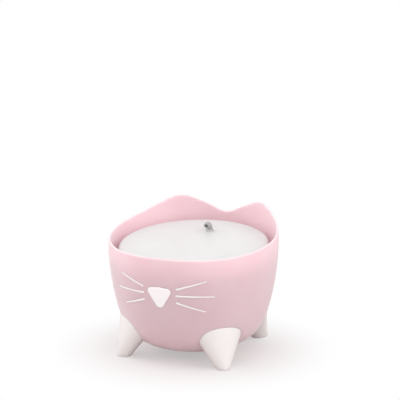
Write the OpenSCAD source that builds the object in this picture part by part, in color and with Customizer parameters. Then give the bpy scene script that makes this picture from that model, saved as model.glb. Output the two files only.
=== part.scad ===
// Pet water fountain: a cat-eared bowl on four paws, a submersible pump, a riser tube,
// a filter tray with a two-media filter, a sloping top cover and a turning spout.
// Millimetres, +Z up. Origin on the floor under the bowl's axis; the nose faces -Y.
// Everything is drawn assembled: each loose piece rests on the one below it.

/* [Reservoir bowl] */
// Outer diameter of the bowl at its front rim
bowl_d = 200; // [194:1:215]
// Height of the front rim above the floor
rim_h = 134; // [130:1:150]
// Gap between the floor and the underside of the bowl
ground_gap = 10; // [7:0.5:13]
// Radius of the bulging side wall
side_r = 300; // [260:5:400]
// Radius of the rounded lower corner
corner_r = 50; // [46:1:54]
// Wall thickness of the bowl
wall = 2.6; // [2.2:0.1:3.2]
// Height of the ears above the front rim
ear_rise = 32; // [24:1:38]
// Height of the flat pump seat above the inner floor
pump_seat_h = 7; // [6.5:0.5:9]

/* [Tray carriers and cord duct] */
// Height of the rib tops that carry the filter tray
seat_h = 109; // [104:1:112]
// Length of a carrying rib's top, inwards from the front rim's radius
rib_l = 16; // [14:1:20]
// Thickness of a carrying rib
rib_t = 2.4; // [1.8:0.2:3.2]
// Outer width of the cord duct on the rear wall
duct_w = 24; // [22:1:34]
// Wall thickness of the cord duct
duct_t = 1.4; // [1.2:0.1:2]
// Clearance between the filter tray and the cord duct
duct_gap = 0.7; // [0.5:0.1:1.2]
// Outer diameter of the cord grommet
grommet_d = 8; // [7:0.5:9]

/* [Face and paws] */
// Width of the nose inlay
nose_w = 28.4; // [22:0.2:32]
// Height of the nose inlay
nose_h = 25; // [20:0.2:28]
// Height of the nose inlay's centre above the floor
nose_z = 87.8; // [84:0.2:92]
// Depth of the shallow seats that hold the nose and whiskers
inlay_depth = 1; // [0.8:0.1:1.4]
// Width of a whisker beside the nose
whisker_w = 2.2; // [1.6:0.1:2.6]
// Angle of the front paws from the nose
front_paw_angle = 47.5; // [44:0.5:52]
// Angle of the rear paws from the nose
rear_paw_angle = 142.5; // [138:0.5:148]
// Distance of a front paw's axis on the floor from the front rim's radius
paw_inset = 15.8; // [14:0.2:20]
// Distance of a rear paw's axis on the floor from the front rim's radius
rear_paw_inset = 9; // [7:0.2:14]
// Inward lean of a paw's axis in degrees
paw_lean = 16; // [14:0.2:20]
// Thickness of the soft pad under each paw
pad_t = 1.6; // [1.2:0.1:2]

/* [Filter tray] */
// Radial gap between the tray and the bowl's wall
tray_gap = 5.7; // [5:0.1:6.4]
// Depth of the flat at the tray's rear edge, where it passes the cord duct
tray_flat = 0.8; // [0.6:0.1:1.4]
// Height of the tray's rim
tray_h = 5.8; // [5.4:0.2:7]
// Play between the ribs and the tray, and between the tray and the cover
rest_gap = 0.4; // [0.3:0.05:0.5]
// Plate thickness of the tray
tray_t = 2; // [1.6:0.1:2.2]
// Radius of the dished basin
basin_r = 67; // [62:1:70]
// Depth of the dished basin below the land
basin_depth = 5; // [4.4:0.1:5.6]
// Depth of the flat land below the tray's rim
land_drop = 1; // [0.8:0.1:1.4]
// Distance of the basin's centre from the bowl's axis, towards the nose
basin_y = 35; // [32:1:37]
// Side length of the filter well, outside
well_w = 80.5; // [77:0.5:82]
// Distance of the well's centre from the front rim
well_inset = 57.8; // [57:0.2:60]
// Depth of the well below the tray
well_depth = 15; // [14:0.5:17]
// Wall thickness of the well
well_t = 1.6; // [1.4:0.1:1.8]
// Radius of the finger notch behind the filter
notch_r = 7.6; // [7:0.2:9]
// Diameter of the two finger holes
finger_d = 18; // [14:0.5:20]

/* [Filter] */
// Clearance round the filter in its well
filter_gap = 0.4; // [0.3:0.1:1]
// Depth of the filter's pods
pod_depth = 7.5; // [6.5:0.5:8]
// Thickness of the filter's film flange
film_t = 0.8; // [0.6:0.1:1.2]
// Width of the cross gap between the pods
pod_gap = 4; // [3:0.5:6]

/* [Top cover] */
// Height of the cover's top at its centre, above its lower edge
cover_mid_h = 13.6; // [13.4:0.2:15]
// Rise of the cover's top from the nose to the back, per millimetre
cover_slope = 0.093; // [0.085:0.001:0.1]
// Plate thickness of the cover
cover_t = 1.6; // [1.2:0.1:2]
// Half angle of the water gap cut into the skirt
gap_angle = 25.5; // [20:0.5:32]

/* [Water path] */
// Distance of the riser tube's axis from the rear rim's circle
tube_inset = 52; // [51:0.5:56]
// Outer diameter of the riser tube
tube_d = 10.6; // [10:0.1:12]
// Inner diameter of the riser tube
tube_bore = 7.4; // [7:0.1:8]
// Radial clearance of the round running fits
fit = 0.05; // [0.03:0.01:0.08]
// Height of the tube's top end above the tray's rim
tube_top = 7.4; // [6.8:0.2:7.6]
// Outer diameter of the spout
spout_d = 7; // [6.4:0.1:7.4]
// Length of the soft sleeve round the spout's foot
sleeve_h = 11.5; // [10.5:0.5:13]
// Height of the whole spout above the sleeve's foot
spout_h = 22; // [20:0.5:26]
// Bend radius of the spout's centre line
spout_bend = 6.3; // [5.5:0.1:7]
// Angle of the spout's bend
spout_sweep = 105; // [90:1:115]
// Length of the straight outlet after the bend
outlet_l = 2.6; // [1:0.2:4]

/* [Pump] */
// Length of the pump housing
pump_l = 41; // [39:1:43]
// Width of the pump housing
pump_w = 28; // [24:1:29]
// Height of the pump housing
pump_h = 25; // [24:0.5:28]
// Height of the suction feet
cup_h = 3.4; // [2.8:0.2:4]
// Height of the outlet stub above the housing
stub_h = 16.5; // [14:0.5:18]
// Distance from the pump's front to the outlet's axis
stub_u = 29.8; // [28.4:0.2:31]
// Direction of the pump's front, in degrees from the nose
pump_turn = -45; // [-60:1:-30]
// Radius of the impeller's blades
impeller_r = 8.6; // [7.6:0.1:9]
// Number of blades
blades = 6; // [4:1:8]
// Radius of the flow dial
dial_r = 3.3; // [2.8:0.1:3.6]
// Length of the door from its hinge to its tip
door_l = 16; // [14:0.5:17]

/* [Hidden] */
$fn = 96;
big = 400;
eps = 0.01;
pink = [0.95, 0.74, 0.77];
white = [0.95, 0.95, 0.94];

// Centres of the side arc and the corner arc in the bowl's radial section
rim_r = bowl_d / 2;
tube_y = rim_r - tube_inset;
well_y = rim_r - well_inset;
paw_r = rim_r - paw_inset;
rear_paw_r = rim_r - rear_paw_inset;
rib_reach = rim_r - rib_l;
saddle_y = 0.7 * rim_r;
side_x = rim_r - side_r;
corner_z = ground_gap + corner_r;
tangent = asin((rim_h - corner_z) / (side_r - corner_r));
corner_x = side_x + (side_r - corner_r) * cos(tangent);
arc_lap = 0.03;
bowl_top = rim_h + ear_rise;
floor_in = ground_gap + wall;
function side_at(z, inset = 0) = side_x + sqrt(pow(side_r - inset, 2) - pow(z - rim_h, 2));

// The rim's height round the bowl: [angle from the nose, share of the ear's rise]
rim_marks = [[0, 0], [45, 0], [90, 0.22], [115, 0.45], [131, 0.74], [147, 1], [163, 0.75], [180, 0.4]];
last_mark = len(rim_marks) - 1;
ear_angle = rim_marks[5][0];
function rim_slope(i) = i == 0 || i == last_mark ? 0
    : (rim_marks[i + 1][1] - rim_marks[i - 1][1]) / (rim_marks[i + 1][0] - rim_marks[i - 1][0]);
function rim_mark_before(a, i = 0) = i >= last_mark - 1 || a < rim_marks[i + 1][0] ? i
    : rim_mark_before(a, i + 1);
function hermite(p0, m0, p1, m1, t) = (2 * t * t * t - 3 * t * t + 1) * p0 + (t * t * t - 2 * t * t + t) * m0
    + (3 * t * t - 2 * t * t * t) * p1 + (t * t * t - t * t) * m1;
function rim_share(a, i) = let (w = rim_marks[i + 1][0] - rim_marks[i][0])
    hermite(rim_marks[i][1], rim_slope(i) * w, rim_marks[i + 1][1], rim_slope(i + 1) * w,
            (a - rim_marks[i][0]) / w);
function rim_z(a) = rim_h + ear_rise * rim_share(a, rim_mark_before(a));
rim_step = 4;

// Heights at rest
tray_z = seat_h + rest_gap;
cover_z = tray_z + tray_h + rest_gap;
pump_z = floor_in + pump_seat_h + cup_h;
pump_top = pump_z + pump_h;
spout_z = cover_z + tube_top + 0.3;
tray_r = side_at(seat_h, wall) - tray_gap;
tray_rim_w = 5;
land_z = tray_h - land_drop;
duct_y = tray_r - tray_flat + duct_gap;
duct_low = 70;
duct_top = bowl_top - 36;
duct_window = [8, 10];
duct_window_z = 84;
grommet_z = seat_h - 4;
grommet_neck_r = grommet_d / 2 - 1.2;
cord_hole_r = 1.6;
rib_angles = [60, 120, 240, 300];
pump_seat_l = pump_l - 8;
pump_seat_w = pump_w - 3;

// Paw: an oval cone that widens with the distance along its axis, rounded at the toe
paw_toe = 9.2;
paw_round = 12;
// [half size where the axis meets the floor, growth per millimetre] outwards, inwards and across
paw_outer = [12.4, 0];
paw_inner = [6.4, 0.73];
paw_width = [6.4, 0.6];
paw_top = 61;
seat_gap = 0.05;
pad_r = 5;
pad_shift = 3;
pad_seat = 1;

// Filter and well
well_in = well_w / 2 - well_t;
well_corner = 13;
notch_out = 3.5;
rest_at = 20;
rest_w = 2.4;
well_floor = tray_t - well_depth;
film_w = 2 * (well_in - filter_gap);
pod_clear = 0.8;
film_z = tray_z + well_floor + pod_depth + pod_clear;
pod_w = (film_w - 6 - pod_gap) / 2;
hub_r = 6.7;

// Cover
cover_r = tray_r - tray_rim_w / 2 + 0.15;
function cover_top_at(y) = cover_z + cover_mid_h + cover_slope * y;
cover_tilt = atan(cover_slope);
cover_wall = cover_t + 0.4;
cover_hole_r = 4.4;

// Collar and its lifting ring, heights from the tray's land
collar_r = 16.4;
collar_neck_r = 10;
collar_sleeve_r = 7.6;
collar_sleeve_h = 6;
disc_low = 8.2;
disc_high = 11.6;
disc_edge = 1.4;
nipple_r = 5.2;
collar_h = 14.5;
ring_r = 10.1;
ring_wire_r = 1.3;
ring_x = 25.4;
ring_lean = 42;
ring_lift = 0.1;
finger_x = 54.5;
finger_y = 44;

// Pump, in its own frame: u runs to the front along +X, v across along +Y, w up
pump_back = stub_u - pump_l;
pump_mid = stub_u - pump_l / 2;
axis_w = 13;
plate_t = 2;
recess = 4;
flange_t = 2.4;
flange_top = pump_h + 1;
flange_tip = -4;
stub_r = tube_bore / 2 - fit;
chamber_l = 6;
chamber_r = impeller_r + 0.6;
magnet_r = 4.2;
magnet_l = 10;
shaft_r = 0.75;
stem_r = 1.2;
port_r = 2.2;
port_drop = 6.4;
passage_r = 1.9;
passage_w = axis_w + 7.4;
recess_u = stub_u + flange_t - recess;
plate_u = recess_u - plate_t;
chamber_u = plate_u - chamber_l;
door_w = 22;
hinge_w = 21.5;
hinge_u = stub_u + flange_t + 1.7;
pin_r = 0.7;
knuckle_r = 1.4;
door_t = 1.2;
door_bar = 1.6;
gland_w = 7;
gland_r = 2.6;
gland_bore_r = 1.4;
gland_l = 3;
ear_v = 6.4;
ear_t = 1.8;
pin_half = ear_v + ear_t / 2;
knuckle_half = ear_v - ear_t / 2 - 0.3;
foot_at = [pump_l / 2 - 9, pump_w / 2 - 6];
foot_r = 4.6;
foot_neck_r = 1.8;

// ---------- shared shapes ----------

// Half section of the bowl's body, grown by g: a side arc that runs into a corner arc.
// The corner arc stands proud by arc_lap where they meet, so that the two cross cleanly.
module body_section(g) {
    join_z = rim_h - (side_r + g) * sin(tangent);
    intersection() {
        translate([side_x, rim_h]) circle(r = side_r + g, $fn = 360);
        translate([0, join_z]) square([big, bowl_top + 5 - join_z]);
    }
    intersection() {
        union() {
            translate([corner_x + arc_lap, corner_z]) circle(r = corner_r + g, $fn = 180);
            translate([0, ground_gap - g]) square([corner_x + arc_lap, corner_z]);
        }
        square([big, join_z + 5]);
    }
}

module body_solid(g) {
    rotate_extrude($fn = 180) body_section(g);
}

module round_rect(w, d, r) {
    square([w - 2 * r, d], center = true);
    square([w, d - 2 * r], center = true);
    for (x = [-1, 1], y = [-1, 1])
        translate([x * (w / 2 - r), y * (d / 2 - r)]) circle(r = r, $fn = 48);
}

module round_box(w, d, h, r) {
    linear_extrude(height = h) round_rect(w, d, r);
}

module tube(ro, ri, h) {
    difference() {
        cylinder(r = ro, h = h);
        translate([0, 0, -1]) cylinder(r = ri, h = h + 2);
    }
}

module at_tube(z) {
    translate([0, tube_y, z]) children();
}

module at_pump() {
    translate([0, tube_y, pump_z]) rotate([0, 0, pump_turn - 90]) children();
}

// Turns a shape drawn with its length along +Z so that it points to the pump's front
module along_u(u, v, w) {
    translate([u, v, w]) rotate([0, 90, 0]) children();
}

// ---------- reservoir ----------

// Everything above the rim line, seen from the side in front of the ears
module above_side_rim() {
    line = [for (a = [30 : rim_step : ear_angle], z = [rim_z(a)]) [-side_at(z) * cos(a), z]];
    peak = -side_at(bowl_top) * cos(ear_angle);
    points = concat([[-big, rim_h]], line, [[peak, bowl_top], [peak, big], [-big, big]]);
    rotate([90, 0, 90]) linear_extrude(height = 2 * big, center = true) polygon(points);
}

// Everything above the saddle between the ears, seen from behind
module above_rear_rim() {
    half = [for (a = [180 : -rim_step : ear_angle], z = [rim_z(a)]) [side_at(z) * sin(a), z]];
    peak = side_at(bowl_top) * sin(ear_angle);
    left = [for (i = [len(half) - 1 : -1 : 1]) [-half[i][0], half[i][1]]];
    points = concat([[-peak, big], [-peak, bowl_top]], left, half, [[peak, bowl_top], [peak, big]]);
    translate([0, big + saddle_y, 0]) rotate([90, 0, 0]) linear_extrude(height = big) polygon(points);
}

module carrying_ribs() {
    for (a = rib_angles)
        rotate([0, 0, a - 90])
            translate([rib_reach, -rib_t / 2, floor_in])
                cube([rim_r - rib_reach, rib_t, seat_h - floor_in]);
}

// A flat hollow duct for the cord, fixed inside the rear wall and open at the top
module cord_duct() {
    color(pink) difference() {
        intersection() {
            translate([-duct_w / 2, duct_y, duct_low])
                cube([duct_w, rim_r - duct_y, duct_top - duct_low]);
            body_solid(-wall - seat_gap);
        }
        translate([-duct_w / 2 + duct_t, duct_y + duct_t, duct_low - 1])
            cube([duct_w - 2 * duct_t, rim_r, big]);
        translate([-duct_window[0] / 2, duct_y - 1, duct_window_z])
            cube([duct_window[0], duct_t + 2, duct_window[1]]);
    }
}

module at_pump_seat(z) {
    translate([0, tube_y, z]) rotate([0, 0, pump_turn - 90]) translate([pump_mid, 0, 0]) children();
}

module pump_seat() {
    at_pump_seat(ground_gap) round_box(pump_seat_l, pump_seat_w, wall + pump_seat_h, 4);
}

// The pump seat is cored out from below, so that its walls stay even
module pump_seat_core() {
    at_pump_seat(-1)
        round_box(pump_seat_l - 2 * wall, pump_seat_w - 2 * wall, 1 + ground_gap + pump_seat_h, 3);
}

module reservoir_bowl() {
    color(pink) difference() {
        union() {
            difference() {
                body_solid(0);
                body_solid(-wall);
            }
            intersection() {
                union() {
                    carrying_ribs();
                    pump_seat();
                }
                body_solid(-wall / 2);
            }
        }
        translate([0, 0, bowl_top]) cylinder(r = big, h = big);
        above_side_rim();
        above_rear_rim();
        pump_seat_core();
        inlay_layer(inlay_depth, big) {
            nose_outline(seat_gap);
            whisker_outlines(seat_gap);
        }
        translate([0, duct_y + duct_t, grommet_z]) rotate([-90, 0, 0])
            cylinder(r = grommet_neck_r, h = 20);
    }
}

// ---------- face ----------

// A rounded triangle with its point down, drawn across x and z
module nose_outline(g) {
    corner = 4.5;
    tip = 5.4;
    crown = 1.1;
    translate([0, nose_z]) hull() {
        for (s = [-1, 1])
            translate([s * (nose_w / 2 - corner), nose_h / 2 - crown - corner])
                circle(r = corner + g, $fn = 40);
        translate([0, nose_h / 2 - 2 * corner]) circle(r = 2 * corner + g, $fn = 60);
        translate([0, tip - nose_h / 2]) circle(r = tip + g, $fn = 40);
    }
}

// [inner angle, inner height, outer angle, outer height] of the three whiskers of one side,
// heights from the nose's centre
whiskers = [[11.9, 10.9, 32.2, 20.9], [11.6, 3.4, 38.2, 2.2], [11.8, -4.9, 32.5, -16]];

module whisker_outlines(g) {
    for (s = [-1, 1], w = whiskers, z0 = nose_z + w[1], z1 = nose_z + w[3])
        hull() {
            translate([s * side_at(z0) * sin(w[0]), z0]) circle(r = whisker_w / 2 + g, $fn = 24);
            translate([s * side_at(z1) * sin(w[2]), z1]) circle(r = whisker_w / 4 + g, $fn = 24);
        }
}

// A 2-D outline carried through the front wall, between two depths of the bowl's surface
module inlay_layer(depth, proud) {
    difference() {
        intersection() {
            rotate([90, 0, 0]) linear_extrude(height = rim_r + 5) children();
            if (proud < big) body_solid(proud);
            else cylinder(r = big, h = big);
        }
        body_solid(-depth);
    }
}

module nose_inlay() {
    color(white) inlay_layer(inlay_depth - seat_gap, 0.8) nose_outline(0);
}

module whisker_inlays() {
    color(white) inlay_layer(inlay_depth - seat_gap, 0.25) whisker_outlines(0);
}

// ---------- paws ----------

// One ring of the paw's oval cone at distance s along its axis, fuller on its inner side
function paw_fill(s) = sqrt(1 - pow(1 - min(1, (s + paw_toe) / paw_round), 2));
function paw_half(size, s) = paw_fill(s) * (size[0] + size[1] * s);
function paw_ring(s) = [for (a = [0 : 15 : 345])
    [paw_half(cos(a) < 0 ? paw_inner : paw_outer, s) * cos(a), paw_half(paw_width, s) * sin(a), s]];

module paw_cone() {
    stations = concat([for (i = [1 : 6]) -paw_toe + paw_round * (1 - cos(i * 15))],
                      [for (i = [1 : 4]) paw_round - paw_toe + i * (paw_top - paw_round + paw_toe) / 4]);
    hull() polyhedron_rings([for (s = stations) paw_ring(s)]);
}

// A closed skin over a stack of equal rings
module polyhedron_rings(rings) {
    n = len(rings[0]);
    m = len(rings);
    points = [for (r = rings, p = r) p];
    sides = [for (j = [0 : m - 2], i = [0 : n - 1])
        [j * n + i, (j + 1) * n + i, (j + 1) * n + (i + 1) % n, j * n + (i + 1) % n]];
    base = [[for (i = [0 : n - 1]) i]];
    top = [[for (i = [n - 1 : -1 : 0]) (m - 1) * n + i]];
    polyhedron(points = points, faces = concat(sides, base, top));
}

module paw(angle, reach) {
    color(white) difference() {
        intersection() {
            rotate([0, 0, angle - 90]) translate([reach, 0, 0]) rotate([0, -paw_lean, 0]) paw_cone();
            translate([-big, -big, pad_t - pad_seat]) cube([2 * big, 2 * big, big]);
        }
        body_solid(seat_gap);
        rotate([0, 0, angle - 90]) translate([reach + pad_shift, 0, -1])
            cylinder(r = pad_r + seat_gap, h = 1 + pad_t);
    }
}

module front_left_paw() { paw(-front_paw_angle, paw_r); }
module front_right_paw() { paw(front_paw_angle, paw_r); }
module rear_left_paw() { paw(-rear_paw_angle, rear_paw_r); }
module rear_right_paw() { paw(rear_paw_angle, rear_paw_r); }

module paw_pads() {
    color([0.86, 0.86, 0.85])
        for (at = [[front_paw_angle, paw_r], [rear_paw_angle, rear_paw_r]], s = [-1, 1])
            rotate([0, 0, s * at[0] - 90]) translate([at[1] + pad_shift, 0, 0])
                cylinder(r = pad_r, h = pad_t);
}

// Soft bush in the rear wall: a neck through the wall and a flat flange outside
module cord_grommet() {
    neck_l = wall + 0.6;
    flange = 1;
    color([0.85, 0.85, 0.85]) translate([0, side_at(grommet_z) - wall - 0.3, grommet_z]) rotate([-90, 0, 0])
        difference() {
            union() {
                cylinder(r = grommet_neck_r - seat_gap, h = neck_l + flange);
                translate([0, 0, neck_l]) cylinder(r = grommet_d / 2, h = flange);
            }
            translate([0, 0, -1]) cylinder(r = cord_hole_r, h = neck_l + flange + 2);
        }
}

// ---------- filter tray ----------

dish_r = (basin_r * basin_r + basin_depth * basin_depth) / (2 * basin_depth);

module dish_ball(grow) {
    translate([0, -basin_y, land_z + dish_r - basin_depth]) sphere(r = dish_r + grow);
}

// The filter well with a round finger notch at its rear edge
module well_area(inset) {
    half = notch_r + well_t - inset;
    notch_y = well_w / 2 - well_y + notch_out;
    translate([0, -well_y]) round_rect(well_w - 2 * inset, well_w - 2 * inset, well_corner - inset);
    translate([0, notch_y]) circle(r = half, $fn = 48);
    translate([-half, notch_y - half]) square([2 * half, half]);
}

module filter_tray() {
    color(white) translate([0, 0, tray_z]) difference() {
        union() {
            difference() {
                intersection() {
                    cylinder(r = tray_r, h = tray_h, $fn = 180);
                    translate([-big / 2, tray_r - tray_flat - big, -1]) cube([big, big, big]);
                }
                difference() {
                    translate([0, 0, -1]) cylinder(r = tray_r - tray_t, h = 1 + land_z - tray_t, $fn = 180);
                    dish_ball(tray_t);
                }
            }
            translate([0, 0, well_floor - well_t])
                linear_extrude(height = land_z - tray_t / 2 - well_floor + well_t) well_area(0);
        }
        // inside the rim: the flat land and the dished basin
        intersection() {
            translate([0, 0, -big / 2]) cylinder(r = tray_r - tray_rim_w, h = big, $fn = 180);
            union() {
                translate([-big / 2, -big / 2, land_z]) cube([big, big, big]);
                dish_ball(0);
            }
        }
        difference() {
            translate([0, 0, well_floor]) linear_extrude(height = big) well_area(well_t);
            filter_rests();
        }
        drain_slots();
        for (s = [-1, 1])
            translate([s * finger_x, finger_y, -big / 2]) cylinder(r = finger_d / 2, h = big);
        at_tube(-big / 2) cylinder(r = collar_sleeve_r + fit, h = big);
    }
}

// Pairs of small blocks on the well's sides that carry the filter's flange
module filter_rests() {
    side = pod_w + pod_gap / 2 + 0.5;
    for (q = [0 : 3], t = [-rest_at, rest_at])
        translate([0, -well_y, well_floor - 1]) rotate([0, 0, 90 * q]) translate([side, t - rest_w / 2, 0])
            cube([well_in - side + 1, rest_w, film_z - tray_z - well_floor + 1]);
}

module drain_slots() {
    for (i = [-1, 1], j = [-1, 0, 1])
        translate([i * 17, j * 17 - well_y, well_floor - 5])
            round_box(16, 4, 10, 1.9);
}

// A stepped collar that joins the riser tube to the spout, with a lifting ring at its side
function disc_corner(z, a) = [collar_r - disc_edge + disc_edge * cos(a), z + disc_edge * sin(a)];
module tube_collar() {
    tube_reach = tube_top + land_drop + rest_gap;
    color([0.93, 0.93, 0.93]) at_tube(tray_z + land_z) difference() {
        union() {
            rotate_extrude() polygon(concat(
                [[0, -collar_sleeve_h], [collar_sleeve_r, -collar_sleeve_h], [collar_sleeve_r, 0],
                 [collar_neck_r, 0], [collar_neck_r, disc_low]],
                [for (a = [-90 : 15 : 0]) disc_corner(disc_low + disc_edge, a)],
                [for (a = [0 : 15 : 90]) disc_corner(disc_high - disc_edge, a)],
                [[nipple_r + 5, disc_high + 1.2], [nipple_r + 0.6, disc_high + 2.2],
                 [nipple_r, disc_high + 2.8], [nipple_r, collar_h - 0.6], [nipple_r - 0.6, collar_h],
                 [0, collar_h]]));
            lifting_ring();
        }
        translate([0, 0, -collar_h]) cylinder(r = tube_d / 2 + fit, h = collar_h + tube_reach);
        translate([0, 0, -collar_h]) cylinder(r = spout_d / 2 + fit, h = 3 * collar_h);
    }
}

// A round wire ring that stands on the land and leans back under the cover
module lifting_ring() {
    foot = ring_r * cos(ring_lean) + ring_wire_r + ring_lift;
    translate([ring_x, ring_r * sin(ring_lean), foot]) rotate([90 - ring_lean, 0, 0])
        rotate_extrude() translate([ring_r, 0]) circle(r = ring_wire_r, $fn = 32);
}

// ---------- filter ----------

module filter_hub_gap() {
    translate([0, -well_y, -big / 2]) cylinder(r = hub_r, h = big);
}

module filter_film() {
    color([0.85, 0.9, 0.9, 0.5]) difference() {
        translate([0, -well_y, film_z]) round_box(film_w, film_w, film_t, well_corner - well_t - filter_gap);
        filter_hub_gap();
    }
}

module pod(sx, sy) {
    offset_xy = (pod_w + pod_gap) / 2;
    difference() {
        translate([sx * offset_xy, sy * offset_xy - well_y, film_z]) hull() {
            translate([0, 0, -2]) round_box(pod_w, pod_w, 2, 7);
            translate([0, 0, -pod_depth]) round_box(pod_w - 4, pod_w - 4, 1, 6);
        }
        filter_hub_gap();
    }
}

module carbon_pods() {
    color([0.45, 0.5, 0.48]) for (sy = [-1, 1]) pod(-1, sy);
}

module resin_pods() {
    color([0.93, 0.78, 0.68]) for (sy = [-1, 1]) pod(1, sy);
}

// ---------- cover ----------

// The cover's outer body, lowered or drawn in by the plate thickness
module cover_body(inset, drop) {
    difference() {
        translate([0, 0, cover_z]) cylinder(r = cover_r - inset, h = 3 * cover_mid_h, $fn = 180);
        translate([0, 0, cover_top_at(0) - drop]) rotate([cover_tilt, 0, 0])
            translate([-big, -big, 0]) cube([2 * big, 2 * big, big]);
    }
}

module top_cover() {
    gap_h = cover_top_at(-cover_r) - cover_z - cover_t;
    color(white) difference() {
        cover_body(0, 0);
        translate([0, 0, -1]) cover_body(cover_wall, cover_t - 1);
        translate([0, 0, cover_z - 1]) linear_extrude(height = 1 + gap_h)
            polygon([[0, 0], [-big * tan(gap_angle), -big], [big * tan(gap_angle), -big]]);
        at_tube(0) cylinder(r = cover_hole_r, h = big);
    }
}

// ---------- tube and spout ----------

module riser_tube() {
    color([0.97, 0.9, 0.86, 0.6]) at_tube(pump_top)
        tube(tube_d / 2, tube_bore / 2, cover_z + tube_top - 0.3 - pump_top);
}

spigot_r = spout_d / 2 - 1;
spout_bore = 1.7;
spigot_l = 6;

module spout_sleeve() {
    color([0.95, 0.9, 0.87, 0.7]) at_tube(spout_z) tube(spout_d / 2, spigot_r + fit, sleeve_h);
}

// A short pipe that bends over towards the nose; its spigot fits inside the sleeve
module spout() {
    bend_z = spout_h - spout_bend - spout_d / 2;
    color([0.8, 0.8, 0.8]) at_tube(spout_z) {
        translate([0, 0, sleeve_h - spigot_l]) tube(spigot_r, spout_bore, spigot_l);
        translate([0, 0, sleeve_h]) tube(spout_d / 2, spout_bore, bend_z - sleeve_h);
        translate([0, -spout_bend, bend_z]) {
            rotate([90, 0, 90]) rotate_extrude(angle = spout_sweep) translate([spout_bend, 0]) difference() {
                circle(r = spout_d / 2, $fn = 48);
                circle(r = spout_bore, $fn = 48);
            }
            rotate([spout_sweep, 0, 0]) translate([0, spout_bend, 0]) tube(spout_d / 2, spout_bore, outlet_l);
        }
    }
}

// ---------- pump ----------

// The faceplate's shield outline, across v and w, shrunk by g
module shield(g) {
    half = pump_w / 2 - g;
    shoulder = 7;
    hull() {
        for (s = [-1, 1]) {
            translate([s * (half - 5), flange_top - 5 - g]) circle(r = 5, $fn = 32);
            translate([s * (half - 2.5), shoulder]) circle(r = 2.5, $fn = 32);
        }
        translate([0, flange_tip + 3 + g]) circle(r = 3, $fn = 32);
    }
}

// Stands a shape drawn across v and w upright, facing the pump's front, from u to u + t
module upright(u, t) {
    translate([u, 0, 0]) rotate([90, 0, 90]) linear_extrude(height = t) children();
}

// Opening of the faceplate and of the recess behind it
module front_window() {
    intersection() {
        shield(3);
        translate([-big, 2]) square([2 * big, pump_h - 4.5]);
    }
}

module pump_housing() {
    color([0.9, 0.9, 0.9]) at_pump() difference() {
        union() {
            translate([pump_mid, 0, 0]) round_box(pump_l, pump_w, pump_h, 3);
            translate([0, 0, pump_h - eps]) cylinder(r = stub_r, h = stub_h + eps);
        }
        // recess behind the faceplate, chamber, rotor well and outlet passage
        upright(recess_u, pump_l) front_window();
        along_u(chamber_u, 0, axis_w) cylinder(r = chamber_r, h = chamber_l + plate_t + eps);
        along_u(chamber_u - magnet_l - 1, 0, axis_w) cylinder(r = magnet_r + 0.5, h = magnet_l + 2);
        along_u(pump_back + 3, 0, axis_w) cylinder(r = shaft_r, h = pump_l);
        along_u(-passage_r, 0, passage_w) cylinder(r = passage_r, h = chamber_u + 3);
        translate([0, 0, passage_w]) cylinder(r = passage_r, h = pump_h + stub_h);
    }
}

// Shield-shaped front frame with the two hinge ears of the door
module pump_faceplate() {
    color(white) at_pump() {
        difference() {
            upright(stub_u + fit, flange_t) shield(0);
            upright(stub_u - 1, flange_t + 2) front_window();
        }
        // hinge ears
        difference() {
            for (s = [-1, 1]) {
                upright_ear(s * ear_v) {
                    translate([0, -knuckle_r]) square([hinge_u - stub_u - flange_t - fit, 2 * knuckle_r]);
                    translate([hinge_u - stub_u - flange_t - fit, 0]) circle(r = knuckle_r, $fn = 32);
                }
            }
            translate([hinge_u, -pump_w / 2, hinge_w]) rotate([-90, 0, 0]) cylinder(r = pin_r, h = pump_w);
        }
    }
}

// Round plate that closes the impeller chamber; water enters through its port
module impeller_cover() {
    color(white) at_pump() difference() {
        along_u(plate_u + fit, 0, axis_w) cylinder(r = chamber_r - fit, h = plate_t - 2 * fit);
        along_u(plate_u - 1, 0, axis_w) cylinder(r = stem_r + fit, h = plate_t + 2);
        along_u(plate_u - 1, 0, axis_w - port_drop) cylinder(r = port_r, h = plate_t + 2);
    }
}

// A hinge ear drawn across u and w, with its middle at v
module upright_ear(v) {
    translate([stub_u + flange_t + fit, v + ear_t / 2, hinge_w]) rotate([90, 0, 0])
        linear_extrude(height = ear_t) children();
}

// The door's pointed outline, across v and w, shrunk by g
module door_outline(g) {
    hull() {
        for (s = [-1, 1])
            translate([s * (door_w / 2 - 2), hinge_w - knuckle_r - 2.3]) circle(r = 2 - g, $fn = 32);
        translate([0, hinge_w - door_l + 2]) circle(r = 2 - g, $fn = 32);
    }
}

// Pointed open frame in front of the flow dial, hung from a pin
module pump_front_door() {
    color(white) at_pump() difference() {
        union() {
            upright(hinge_u - door_t / 2, door_t) difference() {
                door_outline(0);
                door_outline(door_bar);
            }
            translate([hinge_u, -knuckle_half, hinge_w]) rotate([-90, 0, 0])
                cylinder(r = knuckle_r, h = 2 * knuckle_half);
            translate([hinge_u - door_t / 2, -knuckle_half, hinge_w - 3])
                cube([door_t, 2 * knuckle_half, 3]);
        }
        translate([hinge_u, -pump_w / 2, hinge_w]) rotate([-90, 0, 0])
            cylinder(r = pin_r + fit, h = pump_w);
    }
}

module door_pin() {
    color([0.75, 0.75, 0.76]) at_pump()
        translate([hinge_u, -pin_half, hinge_w]) rotate([-90, 0, 0])
            cylinder(r = pin_r, h = 2 * pin_half);
}

module flow_dial() {
    color([0.7, 0.71, 0.71]) at_pump() difference() {
        union() {
            along_u(recess_u + 0.1, 0, axis_w) cylinder(r = dial_r, h = recess - 1);
            along_u(plate_u + 0.4, 0, axis_w) cylinder(r = stem_r, h = plate_t);
        }
        translate([recess_u + recess - 1.7, -0.5, axis_w]) cube([4, 1, dial_r + 1]);
    }
}

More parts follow.
